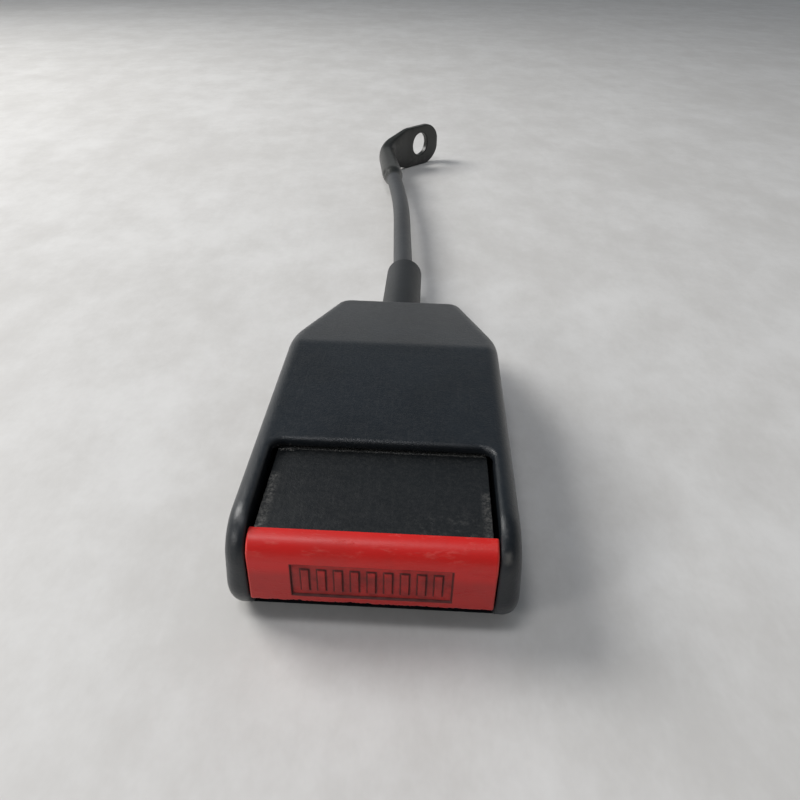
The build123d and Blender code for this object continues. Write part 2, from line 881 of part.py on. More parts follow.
# where the barrel's line meets the blade's
towards_hole = bolt_hole - leg_start
leg_length = towards_hole.cross(blade).Z / leg.cross(blade).Z
corner = leg_start + leg * leg_length
bend_radius = 12.0
bend_angle = leg.get_angle(blade)
bend_setback = bend_radius * tan(radians(bend_angle / 2))


def section_plane(place, heading, middle):
    """Upright plane across the strip where it runs along heading, centred at height middle."""
    origin = (place.X, place.Y, middle)
    return Plane(origin=origin, x_dir=(heading.Y, -heading.X, 0), z_dir=heading)


# the tube's centre line from the end of the barrel, round the corner and into the blade
blade_root = bolt_hole - blade * 11
with BuildLine() as crank:
    into_bend = Line(leg_start + leg * barrel_length, corner - leg * bend_setback)
    bend = JernArc(into_bend @ 1, leg, radius=bend_radius, arc_size=-bend_angle)
    Line(bend @ 1, (blade_root.X, blade_root.Y, stalk_height))

bend_steps = 6


def flattened(share):
    """Thickness, height and middle height of the tube when it is flattened by share, 0 to 1."""
    tube = 2 * barrel_radius
    thickness = tube + share * (blade_thickness - tube)
    height = tube + share**1.5 * (blade_height - tube)
    return thickness, height, stalk_height + share * (blade_height / 2 - stalk_height)


stations = [(into_bend @ 0, leg, 0.0)]
for step in range(bend_steps + 1):
    turn = step / bend_steps
    stations.append((bend @ turn, bend % turn, 0.22 + 0.42 * turn))
stations.append((blade_root, blade, 1.0))

with BuildPart() as anchor_terminal:
    # blade, round at its end, standing on its edge
    with BuildSketch(blade_face) as outline:
        blade_middle = blade_height / 2 - bolt_hole_z
        with Locations((-3.25, blade_middle)):
            Rectangle(15.5, blade_height)
        with Locations((4.5, blade_middle)):
            Circle(blade_height / 2)
    extrude(amount=blade_thickness / 2, both=True)
    rims = anchor_terminal.faces().filter_by(Axis(bolt_hole, blade_face.z_dir)).edges()
    fillet(rims.sort_by(Axis(bolt_hole, blade))[2:], 0.6)
    # tube flattened into the blade
    for place, heading, share in stations:
        thickness, height, middle = flattened(share)
        with BuildSketch(section_plane(place, heading, middle)):
            RectangleRounded(thickness, height, 0.4 * thickness - 0.6 * share)
    loft(ruled=True)
    # barrel swaged on the rope
    with BuildSketch(section_plane(leg_start, leg, stalk_height)):
        Circle(barrel_radius)
    extrude(amount=barrel_length)
    with BuildSketch(section_plane(leg_start, leg, stalk_height)):
        Circle(rope_radius + bore_gap)
    extrude(amount=rope_socket, mode=Mode.SUBTRACT)
    # bolt hole
    with BuildSketch(blade_face):
        Circle(bolt_hole_radius)
    extrude(amount=blade_thickness, both=True, mode=Mode.SUBTRACT)

anchor_terminal.part.label = "anchor_terminal"
export_step(anchor_terminal.part, "parts/anchor_terminal.step")
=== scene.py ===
import bpy
import numpy as np
from mathutils import Matrix


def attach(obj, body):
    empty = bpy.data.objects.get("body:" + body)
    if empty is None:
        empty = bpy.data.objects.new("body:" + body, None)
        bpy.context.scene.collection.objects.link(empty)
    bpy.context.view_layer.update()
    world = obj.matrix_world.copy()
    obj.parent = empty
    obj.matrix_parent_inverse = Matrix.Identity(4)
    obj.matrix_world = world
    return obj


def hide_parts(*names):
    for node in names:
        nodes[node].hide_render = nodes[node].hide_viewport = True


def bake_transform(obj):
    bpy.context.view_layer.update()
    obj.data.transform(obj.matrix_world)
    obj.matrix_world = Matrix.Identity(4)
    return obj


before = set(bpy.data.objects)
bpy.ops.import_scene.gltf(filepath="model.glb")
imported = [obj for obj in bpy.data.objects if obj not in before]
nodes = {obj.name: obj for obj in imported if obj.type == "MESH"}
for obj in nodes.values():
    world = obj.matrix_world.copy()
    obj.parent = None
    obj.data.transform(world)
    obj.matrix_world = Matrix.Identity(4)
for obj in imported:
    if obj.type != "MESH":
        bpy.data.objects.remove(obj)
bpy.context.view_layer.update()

# ---------------------------------------------------------------- camera
# A phone held above the mouth of the buckle and a little to its right, which looks down
# along the stalk. Places are in metres from the middle of the buckle's footprint.

mouth = -0.1688  # y of the buckle's front edge
focal_share = 0.8837  # focal length as a share of the sensor's width
sensor_width = 36.0
pitch, yaw, roll = np.radians([33.918, 1.938, 1.389])
camera_place = (0.007495, mouth - 0.089338, 0.114397)


def turn(angle):
    """Matrix of a turn about z: cosines on the diagonal, sines off it, and 1 for z."""
    cosine, sine = np.cos(angle), np.sin(angle)
    return np.array([[cosine, -sine, 0], [sine, cosine, 0], [0, 0, 1]])


# rows: right, up and back, pitched down first, then turned to the side, then tilted
steep, level = np.sin(pitch), np.cos(pitch)
looking = np.array([[1, 0, 0], [0, steep, level], [0, -level, steep]])
looking = turn(-roll) @ looking @ turn(yaw).T

camera_lens = bpy.data.cameras.new("camera")
camera_lens.sensor_fit = "HORIZONTAL"
camera_lens.sensor_width = sensor_width
camera_lens.lens = sensor_width * focal_share
camera_lens.clip_start = 0.005
camera = bpy.data.objects.new("camera", camera_lens)
camera.matrix_world = Matrix.Translation(camera_place) @ Matrix(looking.T.tolist()).to_4x4()
bpy.context.collection.objects.link(camera)
bpy.context.scene.camera = camera

# ---------------------------------------------------------------- lamps
# Daylight from a wide window on the buckle's left, a ceiling lamp in front of it, a doorway
# in front on the left, and the even light of pale walls. Each lamp is a soft rectangle.

bpy.context.scene.view_settings.view_transform = "Standard"


def lamp(name, place, aim, size, power, colour):
    """Rectangle of light at place that faces aim, size (width, height) in metres."""
    light = bpy.data.lights.new(name, "AREA")
    light.shape = "RECTANGLE"
    light.size, light.size_y = size
    light.energy = power
    light.color = colour
    holder = bpy.data.objects.new(name, light)
    back = np.subtract(place, aim) / np.linalg.norm(np.subtract(place, aim))
    right = np.cross((0, 0, 1), back)
    right /= np.linalg.norm(right)
    spread = np.array([right, np.cross(back, right), back])
    holder.matrix_world = Matrix.Translation(place) @ Matrix(spread.T.tolist()).to_4x4()
    bpy.context.collection.objects.link(holder)


lamp("window", (-0.78, 0.24, 0.72), (0, -0.02, 0), (0.55, 0.5), 10.0, (1.0, 0.99, 0.97))
lamp("ceiling", (-0.20, -0.34, 1.1), (0, -0.1, 0), (0.26, 0.26), 2.7, (0.98, 0.98, 1.0))
lamp("doorway", (-0.85, -0.72, 0.46), (0, -0.15, 0), (0.22, 0.3), 2.4, (1.0, 0.99, 0.98))


class Reading:
    """A socket inside a material. Sums written with Python's operators add Math nodes."""

    def __init__(self, finish, socket):
        self.finish = finish
        self.socket = socket

    def sum(self, operation, *others):
        return self.finish.node("ShaderNodeMath", {"operation": operation}, *others)

    def __add__(self, other):
        return self.sum("ADD", self, other)

    def __sub__(self, other):
        return self.sum("SUBTRACT", self, other)

    def __rsub__(self, other):
        return self.sum("SUBTRACT", other, self)

    def __mul__(self, other):
        return self.sum("MULTIPLY", self, other)

    def __neg__(self):
        return self.sum("MULTIPLY", self, -1)

    __radd__ = __add__
    __rmul__ = __mul__


class Finish:
    """The nodes of a material or of the room, with one method that adds any node."""

    def __init__(self, owner, shader="Principled BSDF"):
        owner.use_nodes = True
        self.owner = owner
        self.tree = owner.node_tree
        self.shader = self.tree.nodes[shader]

    def node(self, kind, settings=None, *values, out=0, **named):
        """Adds a node: its settings first, then its sockets in order, then those by name."""
        node = self.tree.nodes.new(kind)
        for key, setting in (settings or {}).items():
            setattr(node, key, setting)
        by_name = [(key.replace("_", " "), value) for key, value in named.items()]
        for key, value in list(enumerate(values)) + by_name:
            self.give(node.inputs[key], value)
        return Reading(self, node.outputs[out])

    def give(self, socket, value):
        """Links a reading to the socket, or writes a number or colour on it."""
        if isinstance(value, Reading):
            self.tree.links.new(value.socket, socket)
        else:
            socket.default_value = value

    def set(self, **sockets):
        """Gives the shader's own sockets, named with _ for each space, their values."""
        for key, value in sockets.items():
            self.give(self.shader.inputs[key.replace("_", " ")], value)

    def place(self):
        """Object coordinates in metres, or for the room the direction looked in."""
        generated, on_object = 0, 3
        is_room = self.shader.type == "BACKGROUND"
        return self.node("ShaderNodeTexCoord", None, out=generated if is_room else on_object)

    def stretched(self, scale):
        """Object coordinates multiplied by scale along x, y and z."""
        return self.node("ShaderNodeMapping", None, self.place(), Scale=scale)

    def split(self, vector):
        """The x, y and z of a vector."""
        return [self.node("ShaderNodeSeparateXYZ", None, vector, out=axis) for axis in range(3)]

    def cloud(self, scale, detail=3, roughness=0.55, vector=None):
        """Soft noise from 0 to 1 with scale cells to the metre."""
        return self.node(
            "ShaderNodeTexNoise",
            {"noise_dimensions": "3D"},
            Vector=vector or self.place(),
            Scale=scale,
            Detail=detail,
            Roughness=roughness,
        )

    def ramp(self, factor, low, high):
        """0 below low, 1 above high, and smooth between them."""
        settings = {"interpolation_type": "SMOOTHSTEP"}
        return self.node("ShaderNodeMapRange", settings, factor, low, high, 0.0, 1.0)

    def blend(self, factor, first, second):
        """The first colour where factor is 0 and the second where it is 1."""
        node = self.tree.nodes.new("ShaderNodeMix")
        node.data_type = "RGBA"
        factor_in, first_in, second_in, colour_out = 0, 6, 7, 2
        self.give(node.inputs[factor_in], factor)
        self.give(node.inputs[first_in], first)
        self.give(node.inputs[second_in], second)
        return Reading(self, node.outputs[colour_out])

    def relief(self, height, depth, strength=1.0, **under):
        """Normal of a surface whose height of 1 stands depth metres proud."""
        sockets = {"Strength": strength, "Distance": depth, "Height": height}
        return self.node("ShaderNodeBump", None, **sockets, **under)

    def patch(self, low, high, soft):
        """1 in the box from low to high, in object coordinates, falling to 0 over soft."""
        inside = 1.0
        for place, least, most in zip(self.split(self.place()), low, high):
            rising = self.ramp(place, least - soft, least)
            inside = rising * self.ramp(-place, -most - soft, -most) * inside
        return inside


# walls pale at the horizon behind and dark in front, a dim blue ceiling, paler overhead
room = Finish(bpy.data.worlds.new("room"), "Background")
east, north, height = room.split(room.place())
in_front = room.ramp(east * 0.35 - north * 0.95, 0.1, 0.9)
wall = room.blend(in_front, (0.66, 0.66, 0.65, 1), (0.16, 0.155, 0.15, 1))
wall = room.blend(room.ramp(height, 0.08, 0.5), wall, (0.135, 0.155, 0.178, 1))
wall = room.blend(room.ramp(height, 0.8, 1.0), wall, (0.34, 0.35, 0.37, 1))
room.set(Color=wall, Strength=0.9)
bpy.context.scene.world = room.owner

# ---------------------------------------------------------------- bench
# Pale, faintly clouded laminate that the buckle lies on. It isn't part of the object, and
# lies a tenth of a millimetre under it, so that the two faces don't share a plane.

bench_half, bench_drop = 3, 0.0001

bench = Finish(bpy.data.materials.new("bench_laminate"))
bench_cloud = bench.cloud(9, 6, 0.7)
bench_veins = bench.cloud(42, 5, 0.75, bench.stretched((1, 0.6, 1)))
bench_tone = bench.ramp(bench_cloud * 0.5 + bench_veins * 0.5, 0.36, 0.66)
bench.set(
    Base_Color=bench.blend(bench_tone, (0.60, 0.585, 0.565, 1), (0.71, 0.70, 0.685, 1)),
    Roughness=bench_veins * 0.2 + 0.42,
    Normal=bench.relief(bench.cloud(600, 3), 0.0001, 0.2),
)
bench.shader.inputs["Specular IOR Level"].default_value = 0.3

bench_mesh = bpy.data.meshes.new("bench")
around = ((-1, -1), (1, -1), (1, 1), (-1, 1))
bench_corners = [(x * bench_half, y * bench_half, -bench_drop) for x, y in around]
bench_mesh.from_pydata(bench_corners, [], [(0, 1, 2, 3)])
bench_mesh.materials.append(bench.owner)
bench_top = bpy.data.objects.new("bench", bench_mesh)
bpy.context.collection.objects.link(bench_top)

# ---------------------------------------------------------------- bottom cover
# Shallow cover moulded in glass-filled nylon: black with a blue cast, and a fine grain from
# the spark-eroded mould. Its hooks snap into the top cover.

dust_grey = (0.15, 0.145, 0.135, 1)
housing_black = (0.0085, 0.0122, 0.0165, 1)


def moulded(name, colour, roughness, grain, dust, own_marks=None, rounded=0.0003):
    """Plastic with a clouded colour, spark grain of the depth given, hairlines and dust.
    Edges look rounded by the radius given, and a piece's own marks are added: its dirt, and on
    the slider a painted glint line as well."""
    plastic = Finish(bpy.data.materials.new(name))
    broad = plastic.cloud(48, 4, 0.6)
    mottle = plastic.cloud(380, 4, 0.65)
    fine = plastic.cloud(2600, 2, 0.5)
    sparks = plastic.cloud(1150, 3, 0.7)
    specks = plastic.ramp(plastic.cloud(1700, 1, 0.4), 0.74, 0.80)
    specks = specks * plastic.ramp(broad, 0.5, 0.66)
    drawn_out = plastic.stretched((2.0, 0.05, 1.0))
    hairs = plastic.ramp(plastic.cloud(900, 3, 0.7, drawn_out), 0.52, 0.72)
    bloom = plastic.ramp(sparks * 0.7 + mottle * 0.3, 0.40, 0.68)
    soil_and_glint = specks * (2.0 * dust) + hairs * (0.45 * dust) + bloom * (0.75 * dust)
    if own_marks:
        soil_and_glint = soil_and_glint + own_marks(plastic)
    deeper = tuple(0.75 * part for part in colour[:3]) + (1,)
    tone = plastic.blend(plastic.ramp(broad, 0.3, 0.7), colour, deeper)
    edges = plastic.node("ShaderNodeBevel", {"samples": 6}, rounded)
    plastic.set(
        Base_Color=plastic.blend(soil_and_glint, tone, dust_grey),
        Roughness=roughness + (mottle - 0.5) * 0.10 + (sparks - 0.5) * 0.12 + soil_and_glint * 0.4,
        Normal=plastic.relief(fine * 0.5 + sparks * 0.5, grain, Normal=edges),
        IOR=1.5,
    )
    return plastic


def dress(finish, *names):
    """Puts the finish on every material slot of these CAD nodes."""
    for name in names:
        for slot in nodes[name].material_slots:
            slot.material = finish.owner


bottom_plastic = moulded("bottom_plastic", housing_black, 0.38, grain=0.00008, dust=0.05)
dress(bottom_plastic, "bottom_cover")

# ---------------------------------------------------------------- frame, pin, bridge, rivet
# Pressed from steel strip and zinc plated: bright on the rolled faces, greyer where the
# plating has gone cloudy. The latch turns on the headed pin, and the rivet joins the stalk.


def plated(name, colour, roughness):
    """Plated steel: metal with cloudy patches in its colour and its gloss."""
    steel = Finish(bpy.data.materials.new(name))
    patches = steel.cloud(140, 5, 0.65)
    rolled = steel.cloud(700, 3, 0.6, steel.stretched((0.1, 1.0, 1.0)))
    dull = steel.ramp(patches, 0.35, 0.7)
    steel.set(
        Base_Color=steel.blend(dull, colour, tuple(0.6 * part for part in colour)),
        Metallic=1.0,
        Roughness=roughness + dull * 0.2 + rolled * 0.12,
        Normal=steel.relief(rolled, 0.00003),
    )
    return steel


plated_steel = plated("plated_steel", (0.62, 0.62, 0.58, 1), 0.24)
dress(plated_steel, "frame", "latch_pivot_pin", "spring_bridge")
dress(plated_steel, "inner_terminal", "terminal_rivet")

# ---------------------------------------------------------------- latch plate and clip
# The latch is thicker steel, hardened and left darker, with a bright rubbed tooth. The clip
# is a punched spring washer that holds the latch's pin.

hardened_steel = plated("hardened_steel", (0.40, 0.39, 0.37, 1), 0.3)
dress(hardened_steel, "latch_plate", "pivot_clip")

# ---------------------------------------------------------------- springs
# Hard-drawn steel wire, coiled cold, with the end turns closed. Each is pressed between a
# moving piece and one that stays, and is built here at one fixed length.

mm = 0.001
seam_cell = 1e-7  # points on a seam closer than this are one point
soft_edge = np.radians(42)  # faces that meet at less are shaded as one surface


def closed_mesh(name, *tubes, seams=()):
    """Mesh through tubes of points (ring, place, xyz), each with a fan on both its ends.
    Faces whose points are all on a seam are left out, and points in one place made one."""
    points, faces, start = [], [], 0
    for number, rings in enumerate(tubes):
        count, around = rings.shape[:2]
        own = np.concatenate([rings.reshape(-1, 3), rings[[0, -1]].mean(axis=1)])
        ring, place = np.divmod(np.arange((count - 1) * around), around)
        near, beside = ring * around, (place + 1) % around
        far = near + around
        quads = np.stack([near + place, near + beside, far + beside, far + place], axis=1)
        rim, after = np.arange(around), (np.arange(around) + 1) % around
        last = (count - 1) * around
        fans = np.concatenate([
            np.stack([np.full(around, count * around), after, rim], axis=1),
            np.stack([np.full(around, count * around + 1), last + rim, last + after], axis=1),
        ])
        triangles = np.concatenate([quads[:, :3], quads[:, [0, 2, 3]], fans])
        a, b, c = own[triangles].transpose(1, 0, 2)
        outward = 1 if np.einsum("ij,ij->", a, np.cross(b, c)) > 0 else -1
        if seams:
            quads = quads[~seams[number].ravel()[quads].all(axis=1)]
        faces += [quads[:, ::outward] + start, fans[:, ::outward] + start]
        points.append(own)
        start += len(own)
    points = np.concatenate(points)
    if seams:
        cells = np.round(points / seam_cell).astype(np.int64)
        first, same = np.unique(cells, axis=0, return_index=True, return_inverse=True)[1:]
        points, faces = points[first], [same.ravel()[group] for group in faces]
    mesh = bpy.data.meshes.new(name)
    mesh.from_pydata(points.tolist(), [], [face for group in faces for face in group.tolist()])
    mesh.shade_smooth()
    mesh.set_sharp_from_angle(angle=soft_edge)
    return mesh


def fit(name, mesh, finish, slot, *replaced):
    """Adds a piece with its finish, in place of the CAD nodes it stands for."""
    mesh.materials.append(finish.owner)
    piece = bpy.data.objects.new(name, mesh)
    bpy.context.collection.objects.link(piece)
    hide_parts(*replaced)
    return piece


def coil(name, start, axis, length, turns, radius, wire):
    """Spring wire: a ring of points carried along a helix whose rise is one wire's thickness
    a turn in the end turns and wider between them, so that the ends lie closed."""
    closed, opening, rings_a_turn, round_points = 0.6, 0.8, 22, 10
    turn = np.linspace(0, turns, turns * rings_a_turn + 1)
    free = np.clip(turn - closed, 0, opening) * np.clip(turns - closed - turn, 0, opening)
    free /= opening ** 2
    spare = (length - wire) - wire * turns
    rise = wire + spare * free / (free.mean() * turns)
    height = np.concatenate([[0], np.cumsum((rise[1:] + rise[:-1]) / 2 * np.diff(turn))])
    axis = np.array(axis, float)
    across = np.array([axis[2], 0, -axis[0]]) if abs(axis[1]) < 0.5 else np.array([1.0, 0, 0])
    upright = np.cross(axis, across)
    angle = (2 * np.pi * turn)[:, None]
    out = np.cos(angle) * across + np.sin(angle) * upright
    line = np.array(start) + axis * (wire / 2 + height)[:, None] + radius * out
    along = np.gradient(line, axis=0)
    along /= np.linalg.norm(along, axis=1)[:, None]
    aside = np.cross(along, out)
    round_wire = np.linspace(0, 2 * np.pi, round_points, endpoint=False)[:, None]
    ring = wire / 2 * (np.cos(round_wire) * out[:, None] + np.sin(round_wire) * aside[:, None])
    return closed_mesh(name, line[:, None] + ring)


spring_steel = plated("spring_steel", (0.36, 0.35, 0.33, 1), 0.26)
backward, upward = (0, 1, 0), (0, 0, 1)

button_wire = {"length": 16 * mm, "turns": 8, "radius": 1.95 * mm, "wire": 0.7 * mm}
for side, x in (("left", -22.0), ("right", 22.0)):
    front, rear = ((x * mm, mouth + y * mm, 12 * mm) for y in (36.0, 52.0))
    name, replaced = f"return_spring_{side}", f"button_spring_{side}"
    wire = coil(name, front, backward, **button_wire)
    spring = fit(name, wire, spring_steel, "spring_steel", replaced)
    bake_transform(spring)

front, rear = ((0, mouth + y * mm, 6.1 * mm) for y in (38.0, 52.0))
ejector_wire = {"length": 14 * mm, "turns": 8, "radius": 1.6 * mm, "wire": 0.6 * mm}
wire = coil("ejecting_spring", front, backward, **ejector_wire)
spring = fit("ejecting_spring", wire, spring_steel, "spring_steel", "ejector_spring")
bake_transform(spring)

foot, top = ((0, mouth + 46.5 * mm, z * mm) for z in (12.9, 18.0))
latch_wire = {"length": 5.1 * mm, "turns": 4, "radius": 2.2 * mm, "wire": 0.6 * mm}
wire = coil("latching_spring", foot, upward, **latch_wire)
spring = fit("latching_spring", wire, spring_steel, "spring_steel", "latch_spring")
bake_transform(spring)

# ---------------------------------------------------------------- slider and ejector
# Black acetal. The slider's flat panel fills the recess in front of the cover. Grey dust has
# settled along its sides and rear edge, a painted glint line runs along that rear edge under
# the lip, and thumbs have scuffed it near the cap.

panel_half, panel_heights = 22.4, (20.0, 22.0)
slider_black = (0.0058, 0.0074, 0.0086, 1)


def spot(finish, sideways, back, up, soft):
    """1 in a box in mm, falling to 0 over soft. Its sides are from the middle of the
    buckle, its ends from the mouth and its heights from the bench."""
    low, high = np.array([sideways, back, up]).T * mm + np.array([0, mouth, 0])
    return finish.patch(low, high, soft * mm)


def panel_dust_wear_and_glint(plastic):
    """Dust along the panel's sides and rear edge, a painted glint line along that rear edge,
    and scuffs at the front right of it.
    """
    crumbs = plastic.ramp(plastic.cloud(1500, 5, 0.8), 0.42, 0.62) * 0.85 + 0.06
    left = spot(plastic, (-22.6, -21.9), (4, 19), panel_heights, 2.4)
    right = spot(plastic, (21.4, panel_half), (4, 16), panel_heights, 1.6)
    thumbs = spot(plastic, (10, 17), (5, 8), panel_heights, 7)
    rubs = plastic.ramp(plastic.cloud(800, 6, 0.8), 0.50, 0.66)
    grains = plastic.ramp(plastic.cloud(2600, 2, 0.5), 0.52, 0.60)
    corner = spot(plastic, (-panel_half, -19.0), (27.9, 29.0), panel_heights, 0.5)
    # a line along the rear edge under the lip: a painted glint, with dust specks on it
    wall = spot(plastic, (-panel_half, panel_half), (28.3, 29.2), panel_heights, 0.3)
    caught_dust_and_glint = grains * corner * 2.2 + (grains * 0.5 + 0.15) * wall
    return crumbs * left * 1.3 + crumbs * right * 0.42 + rubs * thumbs * 0.13 + caught_dust_and_glint


slider_plastic = moulded(
    "slider_plastic", slider_black, 0.40, grain=0.00008, dust=0.05, own_marks=panel_dust_wear_and_glint
)
dress(slider_plastic, "button_slider", "ejector")

# ---------------------------------------------------------------- button cap
# Red ABS cap, hollow at the back, pushed onto the slider's nose. A sunk label on its front
# has a row of plain upright grip ribs. Its lower edge is chewed where tongues have hit it.

# sizes in mm: half width, wall, corner radius of the ends, heights, depth, edge radii
cap_half, cap_wall, cap_end_radius = 23.1, 1.8, 0.45
cap_low, cap_high, cap_back = 6.9, 21.8, 4.4
brow, chin = 4.2, 0.8

# the label's half width, heights, depth and slope, and nine ribs on its floor
label_half, label_low, label_high = 15.0, 8.9, 16.9
label_depth, label_slope = 0.42, 0.2
rib_pitch, rib_half, rib_reach, ribs_each_side = 3.1, 0.75, 2.7, 4
rib_height, rib_slope = 0.34, 0.3

fresh_red, low_face_red = (0.66, 0.009, 0.006, 1), (0.34, 0.012, 0.010, 1)
worn_red, pale_red = (0.44, 0.022, 0.016, 1), (0.74, 0.14, 0.11, 1)
grime_and_shade_brown = (0.045, 0.012, 0.010, 1)


def smooth(value):
    """0 below 0, 1 above 1, and three squares less two cubes between."""
    value = np.clip(value, 0, 1)
    return value * value * (3 - 2 * value)


def arc(radius, height, turns):
    """Points (y, z) of a round edge that touches the front: centre plus radius times
    cosine and sine."""
    return np.stack([radius + radius * np.cos(turns), height + radius * np.sin(turns)], axis=1)


# skin in the middle of the cap, (y, z) in mm: back, over the brow, down the front, chin, back
face = np.linspace(cap_high - brow - 0.08, cap_low + chin + 0.08, 96)
skin = np.concatenate([
    [(cap_back, cap_high), (cap_back - 0.1, cap_high)],
    arc(brow, cap_high - brow, np.linspace(np.pi / 2, np.pi, 26)),
    np.stack([np.zeros(len(face)), face], axis=1),
    arc(chin, cap_low + chin, np.linspace(np.pi, 1.5 * np.pi, 12)),
    [(y, cap_low) for y in np.linspace(chin + 0.3, cap_back, 10)],
])
inwards = np.gradient(skin, axis=0) @ np.array([[0, -1], [1, 0]])
inwards /= np.linalg.norm(inwards, axis=1)[:, None]
inwards *= np.sign(inwards[len(skin) // 2, 0])

# stations across the cap in mm, close together in the rounded ends and even between
end_turn = np.linspace(0, np.pi / 2, 9)
end_run = cap_end_radius * (1 - np.cos(end_turn))
end_drawn_in = cap_end_radius * (1 - np.sin(end_turn))
middle_half = cap_half - cap_end_radius - 0.1
middle = np.linspace(middle_half, -middle_half, 365)
stations = np.concatenate([cap_half - end_run, middle, -(cap_half - end_run[::-1])])
drawn_in = np.concatenate([end_drawn_in, np.zeros(len(middle)), end_drawn_in[::-1]])

# how far the skin stands back: the label's sunk floor less its ribs, and the chewed edge
across, down = np.meshgrid(stations, skin[:, 1], indexing="ij")
in_label = smooth((label_half - abs(across)) / label_slope + 0.5)
in_label = in_label * smooth((down - label_low) / label_slope + 0.5)
in_label = in_label * smooth((label_high - down) / label_slope + 0.5)
rib_number = np.clip(np.round(across / rib_pitch), -ribs_each_side, ribs_each_side)
from_rib = abs(across - rib_pitch * rib_number)
from_middle = abs(down - (label_low + label_high) / 2)
on_rib = smooth((rib_half - from_rib) / rib_slope + 0.5)
on_rib = on_rib * smooth((rib_reach - from_middle) / rib_slope + 0.5)
sunk = in_label * (label_depth - rib_height * on_rib)

knocks = np.random.default_rng(7)
blunt_knocks, sharp_knocks, past_cap = 40, 170, 24
blunt_places = np.linspace(-past_cap, past_cap, blunt_knocks)
blunt = np.interp(stations, blunt_places, knocks.random(blunt_knocks)) ** 3
sharp_places = np.linspace(-past_cap, past_cap, sharp_knocks)
sharp = np.interp(stations, sharp_places, knocks.random(sharp_knocks)) ** 4
chewed = (0.16 * blunt + 0.24 * sharp) * smooth((cap_half - abs(stations)) / 2)
lifted = chewed[:, None] * smooth((cap_low + 1.3 - down) / 1.3)
lifted = lifted * smooth((2.4 - skin[:, 0]) / 1.6)

front = np.zeros(across.shape + (3,))
stand_back = drawn_in[:, None] + sunk
front[..., 0] = across
front[..., 1] = np.minimum(skin[:, 0] + inwards[:, 0] * stand_back + 0.6 * lifted, cap_back)
front[..., 2] = skin[:, 1] + inwards[:, 1] * stand_back + lifted

# lining: flat across the back in the ends, and the hollow for the slider's nose between
low, high = cap_low + cap_wall, cap_high - cap_wall
hollow = [
    (cap_back, low), (cap_wall, low), (cap_wall, high - 2.4),
    (cap_wall + 0.7, high - 0.7), (cap_wall + 2.4, high), (cap_back, high),
]
lining = np.zeros((len(stations), len(hollow), 3))
lining[..., 0] = stations[:, None]
lining[..., 1] = cap_back
lining[..., 2] = np.linspace(low, high, len(hollow))
lining[abs(stations) < cap_half - cap_wall, :, 1:] = hollow
rings = np.concatenate([front, lining], axis=1) * mm
rings[..., 1] += mouth

cap_mesh = closed_mesh("grip_cap", rings)

# painted shade and grime, from 0 to 1: dark along the label's rim, round its ribs, on its floor
# and on the chewed lower edge, partly dirt and partly painted shade in these hollows and under
# the cap
rim = np.minimum(np.minimum(label_half - abs(across), down - label_low), label_high - down)
grime_and_shade = np.exp(-((rim - 0.02) / 0.24) ** 2) * (abs(across) < label_half + 0.6)
beside_rib = np.maximum(from_rib - rib_half, from_middle - rib_reach)
creased = in_label * np.exp(-((beside_rib - 0.10) / 0.22) ** 2)
grime_and_shade = np.maximum(grime_and_shade * (rim > -0.5), np.maximum(0.9 * creased, 0.42 * in_label))
grime_and_shade = np.maximum(grime_and_shade, 0.8 * smooth((cap_low + 0.5 + chewed[:, None] - down) / 0.5))
grime_and_shade = np.pad(grime_and_shade, ((0, 0), (0, len(hollow))))
told = cap_mesh.attributes.new("grime_and_shade", "FLOAT", "POINT")
told.data.foreach_set("value", np.append(grime_and_shade.ravel(), (0, 0)).astype(np.float32))

red_plastic = Finish(bpy.data.materials.new("red_plastic"))
dirt_and_shade = red_plastic.node("ShaderNodeAttribute", {"attribute_name": "grime_and_shade"}, out=2)
blotch = red_plastic.cloud(260, 5, 0.7)
broad = red_plastic.cloud(60, 3, 0.6)
across_cap = red_plastic.stretched((0.3, 1, 1))
rubbed = red_plastic.ramp(red_plastic.cloud(620, 5, 0.75, across_cap), 0.52, 0.70)
sideways, _, height = red_plastic.split(red_plastic.place())
over_brow = red_plastic.ramp(height, 0.0172, 0.0200)
end_rub_and_highlight = red_plastic.ramp(sideways * sideways, 0.02262 ** 2, 0.02300 ** 2)
# darker red in blotches low on the front face, below 13.5 to 16.2 mm
darker_low = red_plastic.ramp(-height, -0.0162, -0.0135) * (blotch * 0.5 + 0.35)
cap_red_tone = red_plastic.blend(darker_low, fresh_red, low_face_red)
cap_red_tone = red_plastic.blend(red_plastic.ramp(broad, 0.4, 0.7) * 0.3, cap_red_tone, worn_red)
# paler in rubbed streaks over the brow, and paler round the rims of the ends: rubbing, with a
# painted highlight on the end rims
pale = rubbed * over_brow * 0.30 + end_rub_and_highlight * (rubbed * 0.3 + 0.25)
cap_red_tone = red_plastic.blend(pale, cap_red_tone, pale_red)
# dark brown on the label's rim, ribs and floor and on the chewed edge: dirt with painted shade
grime_and_shade_amount = red_plastic.ramp(dirt_and_shade + (blotch - 0.5) * 0.7, 0.15, 0.85)
red_plastic.set(
    Base_Color=red_plastic.blend(grime_and_shade_amount * 0.9, cap_red_tone, grime_and_shade_brown),
    Roughness=0.34 + blotch * 0.12 + grime_and_shade_amount * 0.25 + rubbed * 0.12,
    Normal=red_plastic.relief(blotch * 0.6 + rubbed * 0.4, 0.00008),
    IOR=1.5,
)
cap = fit("grip_cap", cap_mesh, red_plastic, "red_plastic", "button_cap")
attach(cap, "button")

# ---------------------------------------------------------------- top cover
# Deep cover in the same nylon as the bottom one, polished by hands on its rims. Dust has
# caught in a corner of the recess, and its right cheek has a grey knock on the brow.


